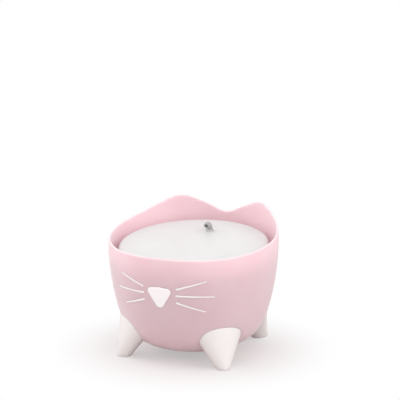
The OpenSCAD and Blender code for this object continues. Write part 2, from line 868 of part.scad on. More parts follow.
module impeller() {
    hub = 3;
    gap = 0.4;
    color([0.5, 0.08, 0.1]) at_pump() along_u(chamber_u + gap, 0, axis_w) difference() {
        union() {
            cylinder(r = hub, h = chamber_l - 2 * gap);
            cylinder(r = impeller_r - 2, h = 0.8);
            for (i = [0 : blades - 1])
                rotate([0, 0, i * 360 / blades]) translate([0, -0.5, 0])
                    cube([impeller_r, 1, chamber_l - 2 * gap - 0.6]);
        }
        translate([0, 0, -1]) cylinder(r = shaft_r + fit, h = 20);
    }
}

module rotor_magnet() {
    color([0.2, 0.2, 0.22]) at_pump() along_u(chamber_u + 0.4 - magnet_l, 0, axis_w)
        tube(magnet_r, shaft_r + fit, magnet_l);
}

module impeller_shaft() {
    back = pump_back + 3;
    color([0.8, 0.8, 0.82]) at_pump() along_u(back, 0, axis_w)
        cylinder(r = shaft_r, h = plate_u - 0.3 - back);
}

module suction_feet() {
    color([0.88, 0.88, 0.88]) at_pump()
        for (su = [-1, 1], sv = [-1, 1])
            translate([pump_mid + su * foot_at[0], sv * foot_at[1], -cup_h]) rotate_extrude()
                polygon([[0, 0.8], [foot_neck_r + 0.2, 0.6], [foot_r - 0.2, 0], [foot_r, 0.3],
                         [foot_neck_r + 0.4, 1.6], [foot_neck_r, 2], [foot_neck_r, cup_h], [0, cup_h]]);
}

module cord_gland() {
    color([0.6, 0.6, 0.62]) at_pump() along_u(pump_back - gland_l, 0, gland_w)
        tube(gland_r, gland_bore_r, gland_l);
}

reservoir_bowl();
nose_inlay();
whisker_inlays();
front_left_paw();
front_right_paw();
rear_left_paw();
rear_right_paw();
paw_pads();
cord_duct();
cord_grommet();
filter_tray();
tube_collar();
filter_film();
carbon_pods();
resin_pods();
top_cover();
riser_tube();
spout_sleeve();
spout();
pump_housing();
pump_faceplate();
impeller_cover();
pump_front_door();
door_pin();
flow_dial();
impeller();
rotor_magnet();
impeller_shaft();
suction_feet();
cord_gland();
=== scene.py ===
import bmesh
import bpy
import numpy as np
from mathutils import Matrix, Vector


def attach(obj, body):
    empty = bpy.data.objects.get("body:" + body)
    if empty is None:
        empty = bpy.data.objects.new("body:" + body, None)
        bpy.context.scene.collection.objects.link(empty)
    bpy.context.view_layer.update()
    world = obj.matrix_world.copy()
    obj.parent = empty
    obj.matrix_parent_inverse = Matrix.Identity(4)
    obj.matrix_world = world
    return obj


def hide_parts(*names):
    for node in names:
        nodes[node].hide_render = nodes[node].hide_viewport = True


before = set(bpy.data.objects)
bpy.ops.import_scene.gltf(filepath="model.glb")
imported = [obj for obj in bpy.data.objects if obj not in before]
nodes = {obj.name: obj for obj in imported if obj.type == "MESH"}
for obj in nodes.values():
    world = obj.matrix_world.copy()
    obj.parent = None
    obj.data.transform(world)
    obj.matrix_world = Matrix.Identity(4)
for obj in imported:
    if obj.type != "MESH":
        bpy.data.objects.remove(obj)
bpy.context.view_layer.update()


# ---------------------------------------------------------------- camera
# A long lens stands a little to the right of the nose and looks slightly down, so that the bowl
# on the floor and the pieces lifted off it share one frame.

azimuth, pitch = np.radians(23.6), np.radians(12.87)
camera_distance, aim_height, camera_side = 2.0265, 0.1808, 0.0076
right = np.array([np.cos(azimuth), np.sin(azimuth), 0.0])
back = np.array([np.sin(azimuth) * np.cos(pitch), -np.cos(azimuth) * np.cos(pitch), np.sin(pitch)])
above = np.cross(back, right)
eye = np.array([0, 0, aim_height]) + camera_side * right + camera_distance * back
camera = bpy.data.objects.new("camera", bpy.data.cameras.new("camera"))
bpy.context.scene.collection.objects.link(camera)
camera.data.lens, camera.data.sensor_width = 155.93, 36
camera.data.clip_start, camera.data.clip_end = 0.1, 20
camera.matrix_world = Matrix([[right[i], above[i], back[i], eye[i]] for i in range(3)] + [[0, 0, 0, 1]])
bpy.context.scene.camera = camera


# ---------------------------------------------------------------- reservoir bowl
# One injection-moulded shell of satin pink plastic, 2.6 mm thick. Its side bulges out to the
# rim, and the rim rises at the back into two soft ears. The lip is rounded all the way round.

bowl_side_x, bowl_side_z, bowl_side_r = -0.2, 0.134, 0.3
bowl_corner_x, bowl_corner_z, bowl_corner_r = 0.038797, 0.06, 0.05
bowl_wall = 0.0026
bowl_turn = np.arcsin((bowl_side_z - bowl_corner_z) / (bowl_side_r - bowl_corner_r))
rim_angles = np.array([0, 45, 90, 115, 131, 147, 163, 180.0])
rim_shares = np.array([0, 0, 0.22, 0.45, 0.74, 1, 0.75, 0.4])
ear_rise = 0.032


def rim_height(turn):
    """Height of the lip at a turn from the nose in radians: a smooth curve through eight marks, where
    the slope at each inner mark is that of the line between its two neighbours."""
    a = np.degrees(np.abs((turn + np.pi) % (2 * np.pi) - np.pi))
    slope = np.zeros(len(rim_shares))
    slope[1:-1] = (rim_shares[2:] - rim_shares[:-2]) / (rim_angles[2:] - rim_angles[:-2])
    i = np.clip(np.searchsorted(rim_angles, a, side="right") - 1, 0, len(rim_shares) - 2)
    w = rim_angles[i + 1] - rim_angles[i]
    t = (a - rim_angles[i]) / w
    share = ((2 * t**3 - 3 * t**2 + 1) * rim_shares[i] + (t**3 - 2 * t**2 + t) * slope[i] * w
             + (3 * t**2 - 2 * t**3) * rim_shares[i + 1] + (t**3 - t**2) * slope[i + 1] * w)
    return bowl_side_z + ear_rise * share


def wall_radius(z, inset=0.0):
    """Radius of the bowl's wall at height z, moved inwards by inset: the side arc above the height
    where the two arcs meet, the corner arc below it."""
    join = bowl_side_z - (bowl_side_r - inset) * np.sin(bowl_turn)
    side = bowl_side_x + np.sqrt(np.maximum((bowl_side_r - inset) ** 2 - (z - bowl_side_z) ** 2, 0))
    corner = bowl_corner_x + np.sqrt(np.maximum((bowl_corner_r - inset) ** 2 - (z - bowl_corner_z) ** 2, 0))
    return np.where(z > join, side, corner)


def around(radius, turn, z):
    """Points at a radius and height, turned about the vertical axis from the nose (-Y) towards +X."""
    return np.stack(np.broadcast_arrays(radius * np.sin(turn), -radius * np.cos(turn), z), -1)


def grid_piece(name, points, wrap_rows=False, caps=False):
    """A piece from a grid of points (rows, columns, 3). Each cell between neighbouring rows and
    columns is one face. The last column meets the first. The rows may close on themselves too, or
    caps close the two end rows."""
    rows, columns = points.shape[:2]
    index = np.arange(rows * columns).reshape(rows, columns)
    if wrap_rows:
        index = np.vstack([index, index[:1]])
    index = np.hstack([index, index[:, :1]])
    faces = np.stack([index[:-1, :-1], index[:-1, 1:], index[1:, 1:], index[1:, :-1]], -1).reshape(-1, 4)
    faces = [list(map(int, f)) for f in faces]
    if caps:
        faces += [list(range(columns))[::-1], list(range((rows - 1) * columns, rows * columns))]
    mesh = bpy.data.meshes.new(name)
    mesh.from_pydata(points.reshape(-1, 3).tolist(), [], faces)
    shape = bmesh.new()
    shape.from_mesh(mesh)
    bmesh.ops.remove_doubles(shape, verts=shape.verts, dist=1e-7)
    bmesh.ops.recalc_face_normals(shape, faces=shape.faces)
    shape.to_mesh(mesh)
    shape.free()
    mesh.polygons.foreach_set("use_smooth", np.ones(len(mesh.polygons), bool))
    piece = bpy.data.objects.new(name, mesh)
    bpy.context.scene.collection.objects.link(piece)
    return piece


def bowl_shell():
    """The wall as one closed grid. Each column runs from the middle of the underside out and up the
    outer arcs, over a half-round lip, and down the inner arcs to the middle of the floor."""
    turn = np.linspace(-np.pi, np.pi, 320, endpoint=False)[None, :]
    top = rim_height(turn) - bowl_wall / 2

    def arcs(inset):
        flat = np.linspace(0, 1, 10)[:-1, None]
        r0 = flat * bowl_corner_x + 0 * turn
        z0 = np.full_like(r0, bowl_corner_z - bowl_corner_r + inset)
        bend = np.linspace(-np.pi / 2, -bowl_turn, 22)[:-1, None]
        r1 = bowl_corner_x + (bowl_corner_r - inset) * np.cos(bend) + 0 * turn
        z1 = bowl_corner_z + (bowl_corner_r - inset) * np.sin(bend) + 0 * turn
        end = np.arcsin((top - bowl_side_z) / (bowl_side_r - inset))
        rise = -bowl_turn + (end + bowl_turn) * np.linspace(0, 1, 44)[:, None]
        r2 = bowl_side_x + (bowl_side_r - inset) * np.cos(rise)
        z2 = bowl_side_z + (bowl_side_r - inset) * np.sin(rise)
        return np.vstack([r0, r1, r2]), np.vstack([z0, z1, z2])

    outer_r, outer_z = arcs(0)
    inner_r, inner_z = arcs(bowl_wall)
    half = np.linspace(0, np.pi, 11)[1:-1, None]
    middle = (outer_r[-1] + inner_r[-1]) / 2
    lip_r = middle + (outer_r[-1] - inner_r[-1]) / 2 * np.cos(half)
    lip_z = (outer_z[-1] + inner_z[-1]) / 2 + bowl_wall / 2 * np.sin(half)
    radius = np.vstack([outer_r, lip_r, inner_r[::-1]])
    height = np.vstack([outer_z, lip_z, inner_z[::-1]])
    return grid_piece("bowl_shell", around(radius, turn, height))


def upright_bar(name, loop, low, high, round_top=0.0008):
    """A bar that stands upright: the closed loop of (x, y) points carried from low to high, drawn in
    slightly towards its middle over the last round_top to soften the top edge."""
    bend = np.linspace(0, np.pi / 2, 5)
    z = np.concatenate([[low], high - round_top + round_top * np.sin(bend)])
    shrink = np.concatenate([[0], round_top * (1 - np.cos(bend))])
    following = np.roll(loop, -1, 0) - np.roll(loop, 1, 0)
    normal = np.stack([following[:, 1], -following[:, 0]], -1)
    normal /= np.maximum(np.linalg.norm(normal, axis=1, keepdims=True), 1e-9)
    sweep = loop[None] - shrink[:, None, None] * normal[None]
    points = np.concatenate([sweep, np.broadcast_to(z[:, None, None], sweep.shape[:2] + (1,))], -1)
    return grid_piece(name, points, caps=True)


# The tray stands on four thin ribs, which grow out of the wall. Their inner edges are half round
# and their tops slightly rounded.
rib_low, rib_shoulder, rib_soft, rib_half, rib_reach = 0.0495, 0.1082, 0.0008, 0.0012, 0.084
crown, nose_arc = np.linspace(0.3, np.pi / 2, 5), np.linspace(-np.pi / 2, np.pi / 2, 7)
levels = np.concatenate([np.linspace(rib_low, rib_shoulder, 14), rib_shoulder + rib_soft * np.sin(crown)])
thin = np.concatenate([np.full(14, rib_half), rib_half - rib_soft * (1 - np.cos(crown))])
rib_inner, rib_outer = rib_reach + rib_half - thin, wall_radius(levels, bowl_wall * 0.6)
edge = [np.minimum(rib_inner + thin * (1 - np.cos(a)), rib_outer) for a in nose_arc]
along = np.stack([rib_outer, *edge, rib_outer], 1)
across = np.stack([-thin, *(thin * np.sin(a) for a in nose_arc), thin], 1)
rib_bars = []
for k, rib_turn in enumerate(np.radians([60, 120, 240, 300])):
    out = np.array([np.sin(rib_turn), -np.cos(rib_turn)])
    side = np.array([np.cos(rib_turn), np.sin(rib_turn)])
    xy = along[..., None] * out + across[..., None] * side
    rib = np.concatenate([xy, np.broadcast_to(levels[:, None, None], xy.shape[:2] + (1,))], -1)
    rib_bars.append(grid_piece(f"rib_{k}", rib, caps=True))

# The pump's feet stand on a raised flat seat, turned with the pump about the riser tube.
pump_turn, tube_y = np.radians(-45), 0.048
pump_out = np.array([np.sin(pump_turn), -np.cos(pump_turn)])
pump_side = np.array([-pump_out[1], pump_out[0]])
seat_x, seat_y, seat_r, seat_shift, seat_low, seat_high = 0.0165, 0.0125, 0.004, 0.0093, 0.0115, 0.0196
corners = np.radians(np.arange(0, 360, 7.5)) + 0.01
seat_uv = np.stack([np.sign(np.cos(corners)) * (seat_x - seat_r) + seat_r * np.cos(corners),
                    np.sign(np.sin(corners)) * (seat_y - seat_r) + seat_r * np.sin(corners)], -1)
seat_loop = np.array([0, tube_y]) + (seat_uv[:, :1] + seat_shift) * pump_out + seat_uv[:, 1:] * pump_side
seat_bar = upright_bar("seat", seat_loop, seat_low, seat_high)


def grown_together(name, base, parts):
    """One closed skin over a piece and the parts that grow out of it."""
    for part in parts:
        union = base.modifiers.new(part.name, "BOOLEAN")
        union.operation, union.solver, union.object = "UNION", "EXACT", part
    mesh = bpy.data.meshes.new_from_object(base.evaluated_get(bpy.context.evaluated_depsgraph_get()))
    mesh.name = name
    mesh.polygons.foreach_set("use_smooth", np.ones(len(mesh.polygons), bool))
    mesh.set_sharp_from_angle(angle=0.6)
    for piece in (base, *parts):
        bpy.data.objects.remove(piece)
    whole = bpy.data.objects.new(name, mesh)
    bpy.context.scene.collection.objects.link(whole)
    return whole


bowl = grown_together("reservoir_shell", bowl_shell(), [*rib_bars, seat_bar])


def light(r, g, b):
    """Shader colour from the red, green and blue of a swatch, 0 to 255."""
    c = np.array([r, g, b]) / 255
    return (*np.where(c <= 0.04045, c / 12.92, ((c + 0.055) / 1.055) ** 2.4), 1.0)


def moulded_grain():
    """The fine spark-eroded grain of moulded plastic as a group: slow clouds shift the roughness and
    the tone a little, and small grain lifts the normal."""
    group = bpy.data.node_groups.new("moulded_grain", "ShaderNodeTree")
    for socket, kind, way in (("Scale", "Float", "INPUT"), ("Depth", "Float", "INPUT"),
                              ("Roughness", "Float", "INPUT"), ("Roughness", "Float", "OUTPUT"),
                              ("Cloud", "Float", "OUTPUT"), ("Normal", "Vector", "OUTPUT")):
        group.interface.new_socket(socket, in_out=way, socket_type="NodeSocket" + kind)
    make, wire = group.nodes.new, group.links.new
    given, result = make("NodeGroupInput"), make("NodeGroupOutput")
    place = make("ShaderNodeTexCoord")
    grain, cloud = make("ShaderNodeTexNoise"), make("ShaderNodeTexNoise")
    grain.inputs["Detail"].default_value = 3
    cloud.inputs["Scale"].default_value, cloud.inputs["Detail"].default_value = 22, 2
    spread, total, bump = make("ShaderNodeMapRange"), make("ShaderNodeMath"), make("ShaderNodeBump")
    spread.inputs["To Min"].default_value, spread.inputs["To Max"].default_value = -0.04, 0.04
    bump.inputs["Distance"].default_value = 0.0002
    wire(place.outputs["Object"], grain.inputs["Vector"])
    wire(place.outputs["Object"], cloud.inputs["Vector"])
    wire(given.outputs["Scale"], grain.inputs["Scale"])
    wire(cloud.outputs["Fac"], spread.inputs["Value"])
    wire(spread.outputs["Result"], total.inputs[0])
    wire(given.outputs["Roughness"], total.inputs[1])
    wire(grain.outputs["Fac"], bump.inputs["Height"])
    wire(given.outputs["Depth"], bump.inputs["Strength"])
    wire(total.outputs["Value"], result.inputs["Roughness"])
    wire(cloud.outputs["Fac"], result.inputs["Cloud"])
    wire(bump.outputs["Normal"], result.inputs["Normal"])
    return group


grain_group = moulded_grain()


def plastic(name, deep, pale, roughness, grain=900.0, depth=0.12, **sockets):
    """A moulded plastic: its colour drifts between deep and pale with the clouds of the grain group,
    which also gives the roughness and the fine bump. Other Principled sockets are given by name."""
    material = bpy.data.materials.new(name)
    material.use_nodes = True
    tree = material.node_tree
    skin = tree.nodes["Principled BSDF"]
    group = tree.nodes.new("ShaderNodeGroup")
    group.node_tree = grain_group
    group.inputs["Scale"].default_value = grain
    group.inputs["Depth"].default_value = depth
    group.inputs["Roughness"].default_value = roughness
    ramp = tree.nodes.new("ShaderNodeValToRGB")
    ramp.color_ramp.elements[0].position, ramp.color_ramp.elements[0].color = 0.35, deep
    ramp.color_ramp.elements[1].position, ramp.color_ramp.elements[1].color = 0.65, pale
    tree.links.new(group.outputs["Cloud"], ramp.inputs["Fac"])
    tree.links.new(ramp.outputs["Color"], skin.inputs["Base Color"])
    tree.links.new(group.outputs["Roughness"], skin.inputs["Roughness"])
    tree.links.new(group.outputs["Normal"], skin.inputs["Normal"])
    for socket, value in sockets.items():
        skin.inputs[socket.replace("_", " ")].default_value = value
    return material


def fit_out(piece, material, body, slot, *replaced):
    """Finishes a piece: its material, the body it rides on, and the nodes it stands for."""
    piece.data.materials.clear()
    piece.data.materials.append(material)
    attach(piece, body)
    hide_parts(*replaced)


pink = plastic("satin_pink", light(235, 195, 202), light(237, 199, 206), 0.42, IOR=1.46,
               Subsurface_Weight=0.9, Subsurface_Radius=(1.0, 0.9, 0.9), Subsurface_Scale=0.0095,
               Sheen_Weight=0.25, Sheen_Roughness=0.5)
fit_out(bowl, pink, "reservoir", "pink_plastic", "reservoir_bowl")


# ---------------------------------------------------------------- cord duct
# A flat channel of the same pink plastic is fixed to the rear wall and carries the cord up behind
# the tray. Its front edges are slightly rounded. Its colour is a paler pink than the bowl's: painted
# light that lifts the channel out of the shade it stands in.


def softened(node, name, cuts):
    """A copy of a node with its triangles merged into flat faces and some edges rounded. Each cut is a
    test on the two ends of an edge, as arrays, with the width of the rounding and its steps. Faces with
    more than four sides are the flat ones, so only the others are shaded smooth."""
    mesh = nodes[node].data.copy()
    mesh.name = name
    mesh.materials.clear()
    shape = bmesh.new()
    shape.from_mesh(mesh)
    bmesh.ops.remove_doubles(shape, verts=shape.verts, dist=2e-6)
    bmesh.ops.dissolve_limit(shape, angle_limit=0.003, verts=shape.verts, edges=shape.edges)
    for test, width, steps in cuts:
        sharp = [e for e in shape.edges if len(e.link_faces) == 2 and e.calc_face_angle(0) > 0.5]
        ends = np.array([[v.co[:] for v in e.verts] for e in sharp])
        chosen = [e for e, hit in zip(sharp, test(ends[:, 0], ends[:, 1])) if hit]
        bmesh.ops.bevel(shape, geom=chosen, offset=width, segments=steps, profile=0.5, affect="EDGES",
                        clamp_overlap=True, offset_type="OFFSET")
    shape.to_mesh(mesh)
    shape.free()
    sides = np.empty(len(mesh.polygons), int)
    mesh.polygons.foreach_get("loop_total", sides)
    mesh.set_sharp_from_angle(angle=0.6)
    mesh.polygons.foreach_set("use_smooth", sides < 5)
    piece = bpy.data.objects.new(name, mesh)
    bpy.context.scene.collection.objects.link(piece)
    return piece


duct_front, duct_side = 0.09055, 0.0115


def duct_edges(a, b):
    """The two long edges of the channel's front face and its upper front edge."""
    front = (np.abs(a[:, 1] - duct_front) < 1e-4) & (np.abs(b[:, 1] - duct_front) < 1e-4)
    return front & (np.abs(a[:, 0]) > duct_side) & (np.abs(b[:, 0]) > duct_side)


duct = softened("cord_duct", "duct_channel", [(duct_edges, 0.0008, 3)])
# Paler pink than the bowl's: painted light that lifts the channel out of its shade.
duct_pink_painted_light = plastic("duct_pink_painted_light", light(248, 220, 226), light(250, 224, 230), 0.42, IOR=1.46,
                    Subsurface_Weight=0.3, Subsurface_Scale=0.002, Sheen_Weight=0.25, Sheen_Roughness=0.5)
fit_out(duct, duct_pink_painted_light, "reservoir", "pink_plastic", "cord_duct")


# ---------------------------------------------------------------- nose and whiskers
# A white rounded triangle and six thin tapered bars of the same white plastic, each pressed
# into a shallow seat in the front wall and standing slightly proud of it.

nose_discs = np.array([[-0.0097, 0.0947, 0.0045], [0.0097, 0.0947, 0.0045], [0, 0.0913, 0.009],
                       [0, 0.0807, 0.0054]])


def nose_outline(count):
    """Points evenly spaced along the tight outline round the four discs: in each direction the
    outline touches the disc that reaches furthest."""
    a = np.linspace(0, 2 * np.pi, 721)
    n = np.stack([np.cos(a), np.sin(a)], -1)
    reach = n @ nose_discs[:, :2].T + nose_discs[:, 2]
    best = reach.argmax(1)
    p = nose_discs[best, :2] + nose_discs[best, 2:] * n
    s = np.concatenate([[0], np.cumsum(np.linalg.norm(np.diff(p, axis=0), axis=1))])
    even = np.linspace(0, s[-1], count, endpoint=False)
    return np.stack([np.interp(even, s, p[:, 0]), np.interp(even, s, p[:, 1])], -1)


def on_front(x, z, proud):
    """Points over the front wall at x and z, standing proud of it by a distance."""
    r = wall_radius(z) + proud
    return np.stack([x, -np.sqrt(np.maximum(r**2 - x**2, 0)), z], -1)


def quarter(t):
    """Height of a quarter circle that starts level at t = 0 and has come down to nothing at t = 1."""
    return np.sqrt(np.clip(1 - np.clip(t, 0, 1) ** 2, 0, 1))


nose_flat, nose_proud, nose_swell, nose_root = 0.86, 0.0008, 0.0002, -0.0009
outline = nose_outline(120)
centre = outline.mean(0)
share = np.concatenate([np.linspace(0, nose_flat, 14),
                        nose_flat + (1 - nose_flat) * np.sin(np.linspace(0.15, np.pi / 2, 9)), [1]])
height = nose_proud * quarter((share - nose_flat) / (1 - nose_flat)) + nose_swell * (1 - share**2)
height = np.where(share < 1, height, nose_root)[:, None]
spread = centre + share[:, None, None] * (outline - centre)
proud = np.broadcast_to(height, spread.shape[:2])
nose = grid_piece("nose_trim", on_front(spread[..., 0], spread[..., 1], proud))


def join_pieces(name, pieces):
    """One object made of several, in the order given."""
    shape = bmesh.new()
    for piece in pieces:
        shape.from_mesh(piece.data)
    mesh = bpy.data.meshes.new(name)
    shape.to_mesh(mesh)
    shape.free()
    for piece in pieces:
        bpy.data.objects.remove(piece)
    joined = bpy.data.objects.new(name, mesh)
    bpy.context.scene.collection.objects.link(joined)
    return joined


# turn in degrees and height in mm of the inner and of the outer end
whisker_marks = [(11.9, 98.7, 32.2, 108.7), (11.6, 91.2, 38.2, 90), (11.8, 82.9, 32.5, 71.8)]
inner_end, outer_end, whisker_half, whisker_taper = 0.02, 0.012, 0.0011, 0.0005
fan = np.linspace(0, np.pi / 2, 7)
t = np.concatenate([inner_end * (1 - np.cos(fan)), np.linspace(0.05, 0.95, 30),
                    1 - outer_end * (1 - np.cos(fan[::-1]))])
ends = quarter((inner_end - t) / inner_end) * quarter((t - 1 + outer_end) / outer_end)
half_w = (whisker_half - whisker_taper * t) * np.maximum(ends, 0.02)
section = np.linspace(0, 2 * np.pi, 14, endpoint=False)
across = half_w[:, None] * np.cos(section)
lift = np.where(np.sin(section) > 0, 0.0004, 0.0006) * np.sin(section) * np.maximum(ends, 0.05)[:, None]
whisker_bars = []
for hand in (-1, 1):
    for inner_turn, inner_z, outer_turn, outer_z in whisker_marks:
        x0 = hand * wall_radius(np.array(inner_z / 1000)) * np.sin(np.radians(inner_turn))
        x1 = hand * wall_radius(np.array(outer_z / 1000)) * np.sin(np.radians(outer_turn))
        line = np.stack([x0 + (x1 - x0) * t, (inner_z + (outer_z - inner_z) * t) / 1000], -1)
        way = np.array([x1 - x0, (outer_z - inner_z) / 1000])
        way /= np.linalg.norm(way)
        normal = np.array([-way[1], way[0]])
        xz = line[:, None] + across[..., None] * normal
        whisker_bars.append(grid_piece("bar", on_front(xz[..., 0], xz[..., 1], lift), caps=True))
whiskers = join_pieces("whisker_trim", whisker_bars)

trim_white = plastic("trim_white", light(253, 249, 250), light(255, 252, 253), 0.4)
fit_out(nose, trim_white, "reservoir", "white_trim", "nose_inlay")
fit_out(whiskers, trim_white, "reservoir", "white_trim", "whisker_inlays")


# ---------------------------------------------------------------- paws
# Four hollow white cones with an oval section, fixed under the bowl's rounded corner. They lean
# in, widen upwards and end in a round toe with a soft pad let into its sole.

# lean, depth of the toe, its rounding, then half size and growth outwards, inwards and across
front_paw = 20.6, 0.0095, 0.0116, (0.00833, 0.213), (0.007, 0.33), (0.00763, 0.513)
rear_paw = 16, 0.0092, 0.012, (0.0124, 0.0), (0.0064, 0.73), (0.0064, 0.6)
sole_z, meets_wall_above = 0.0006, 0.0115


def paw_surface(turn, foot_r, shape):
    """An oval cone about a leaning axis: at a distance s along it the half sizes grow in proportion
    to s, and over the toe they follow a quarter circle. Its inner half is fuller than its outer one,
    and each line up the cone ends inside the wall."""
    a = np.linspace(0, 2 * np.pi, 96, endpoint=False)
    degrees, paw_toe, paw_round, paw_outer, paw_inner, paw_width = shape
    paw_lean = np.radians(degrees)

    def place(s, a):
        fill = np.sqrt(np.clip(1 - (1 - np.minimum(1, (s + paw_toe) / paw_round)) ** 2, 0, 1))
        depth = np.where(np.cos(a) < 0, paw_inner[0] + paw_inner[1] * s, paw_outer[0] + paw_outer[1] * s)
        u = fill * depth * np.cos(a)
        v = fill * (paw_width[0] + paw_width[1] * s) * np.sin(a)
        r = foot_r + u * np.cos(paw_lean) - s * np.sin(paw_lean)
        z = u * np.sin(paw_lean) + s * np.cos(paw_lean)
        return r, v, z

    steps = np.linspace(0.004, 0.07, 400)[:, None]
    r, v, z = place(steps, a[None])
    distance = np.hypot(r, v) - wall_radius(z, bowl_wall / 2)
    inside = (distance < 0) & (z > meets_wall_above)
    stop = steps[inside.argmax(0), 0]
    t = np.concatenate([1 - np.cos(np.linspace(0, np.pi / 2, 16)), 1 + np.linspace(0, 1, 28)[1:]])
    t, start = t[:, None], paw_round - paw_toe
    s = np.where(t <= 1, -paw_toe + paw_round * t, start + (stop - start) * (t - 1))
    r, v, z = place(s, a[None])
    z = np.maximum(z, sole_z)
    out = np.array([np.sin(turn), -np.cos(turn)])
    side = np.array([np.cos(turn), np.sin(turn)])
    xy = r[..., None] * out + v[..., None] * side
    return np.concatenate([xy, z[..., None]], -1)


paw_white = plastic("paw_white", light(232, 229, 227), light(236, 233, 231), 0.4)
for node, turn, foot_r, shape in (
        ("front_left_paw", -47, 0.08707, front_paw), ("front_right_paw", 47, 0.08707, front_paw),
        ("rear_left_paw", -142.5, 0.091, rear_paw), ("rear_right_paw", 142.5, 0.091, rear_paw)):
    paw = grid_piece(node.replace("_paw", "_foot"), paw_surface(np.radians(turn), foot_r, shape))
    fit_out(paw, paw_white, "reservoir", "paw_white", node)


def dress(node, material):
    """Gives a carried-over node its material."""
    nodes[node].data.materials.clear()
    nodes[node].data.materials.append(material)


pad_grey = plastic("pad_grey", light(214, 213, 211), light(222, 221, 219), 0.7, grain=500, depth=0.3)
for node in ("paw_pads", "cord_grommet"):
    dress(node, pad_grey)


# ---------------------------------------------------------------- filter tray
# A round white tray, moulded in one piece. A square well for the filter hangs under its dished
# basin, and two holes take a finger each to lift it. Its edges are slightly rounded.

tray_white = plastic("tray_white", light(238, 237, 236), light(242, 241, 240), 0.36, Subsurface_Weight=0.8,
                     Subsurface_Radius=(1.0, 1.0, 1.0), Subsurface_Scale=0.012)
tray_r, land_top = 0.09065, 0.1142


def tray_edges(a, b):
    """The outer edges of the rim, above and below."""
    round_rim = np.abs(np.hypot(a[:, 0], a[:, 1]) - tray_r) < 2e-4
    return round_rim & (np.abs(a[:, 2] - b[:, 2]) < 1e-5)


tray = softened("filter_tray", "tray_shell", [(tray_edges, 0.0008, 3)])
fit_out(tray, tray_white, "tray", "white_plastic", "filter_tray")


# ---------------------------------------------------------------- tube collar
# A stepped collar of smooth white plastic joins the tube to the spout: a neck, a flat disc
# and a nipple. A round wire ring leans back beside it for lifting the tray.

collar_z = land_top


def lathe(name, profile, centre, steps=96):
    """A closed ring of (radius, height) pairs turned about the upright axis through a centre."""
    profile = np.asarray(profile, float)
    turn = np.linspace(0, 2 * np.pi, steps, endpoint=False)
    points = around(profile[:, :1], turn[None, :], profile[:, 1:] + centre[2])
    return grid_piece(name, points + [centre[0], centre[1], 0], wrap_rows=True)


def rounded_line(corners, sweep=5):
    """A closed outline of (x, y, corner radius) marks with each corner replaced by an arc."""
    marks = np.asarray(corners, float)
    here, past, ahead = marks[:, :2], np.roll(marks[:, :2], 1, 0), np.roll(marks[:, :2], -1, 0)
    one, two = past - here, ahead - here
    one /= np.linalg.norm(one, axis=1, keepdims=True)
    two /= np.linalg.norm(two, axis=1, keepdims=True)
    half = np.arccos(np.clip((one * two).sum(1), -1, 1)) / 2
    cut = marks[:, 2:] / np.tan(half)[:, None]
    t = np.linspace(0, 1, sweep)[None, :, None]
    start, end = here + one * cut, here + two * cut
    bend = (1 - t) ** 2 * start[:, None] + 2 * t * (1 - t) * here[:, None] + t**2 * end[:, None]
    return bend.reshape(-1, 2)


collar_line = rounded_line([
    (0.00535, -0.006, 0.0003), (0.0076, -0.006, 0.0005), (0.0076, -0.0002, 0.0001),
    (0.0104, 0.0001, 0.0006), (0.0104, 0.0083, 0.0008), (0.0164, 0.0083, 0.0012),
    (0.0164, 0.0116, 0.0012), (0.0098, 0.0122, 0.0006), (0.0062, 0.0128, 0.0008),
    (0.0052, 0.0145, 0.0005), (0.00355, 0.0145, 0.0005), (0.00355, 0.0084, 0.0001),
    (0.00535, 0.0084, 0.0001)])
collar_body = lathe("collar_body", collar_line, (0, tube_y, collar_z))
ring_turn = np.linspace(0, 2 * np.pi, 72, endpoint=False)[:, None]
wire_turn = np.linspace(0, 2 * np.pi, 18, endpoint=False)
ring_lean, ring_x, ring_radius, wire_radius = np.radians(42), 0.0254, 0.0101, 0.0013
lean_sin, lean_cos = np.sin(ring_lean), np.cos(ring_lean)
reach = ring_radius + wire_radius * np.cos(wire_turn)
flat = np.stack(np.broadcast_arrays(reach * np.cos(ring_turn), wire_radius * np.sin(wire_turn),
                                    reach * np.sin(ring_turn)), -1)
lean = np.array([[1, 0, 0], [0, lean_cos, lean_sin], [0, -lean_sin, lean_cos]])
ring_foot = wire_radius + 0.0001
ring_at = np.array([ring_x, tube_y + ring_radius * lean_sin, collar_z + ring_radius * lean_cos + ring_foot])
ring = grid_piece("ring", flat @ lean.T + ring_at, wrap_rows=True)
collar = join_pieces("collar_shell", [collar_body, ring])
# The collar's white is lifted to nearly pure white: painted light against the shade the cover throws on it.
collar_white = plastic("collar_white", light(251, 251, 251), light(254, 254, 254), 0.3,
                       Subsurface_Weight=0.5, Subsurface_Radius=(1.0, 1.0, 1.0), Subsurface_Scale=0.006)
fit_out(collar, collar_white, "tray", "collar_white", "tube_collar")


# ---------------------------------------------------------------- filter
# Four pouches of granules hang from one flange of thin non-woven film, two of grey-green carbon
# and two of peach resin, round an open hub. The media show faintly through the film.

well_y, film_z, film_half, film_t, hub_r = 0.0422, 0.1047, 0.03825, 0.0008, 0.0067
pod_half, pod_shift, pod_tuck, pod_shoulder, pod_depth = 0.016625, 0.018625, 0.0022, 0.0008, 0.0067
film_swell, film_crease = 0.0013, 0.00012


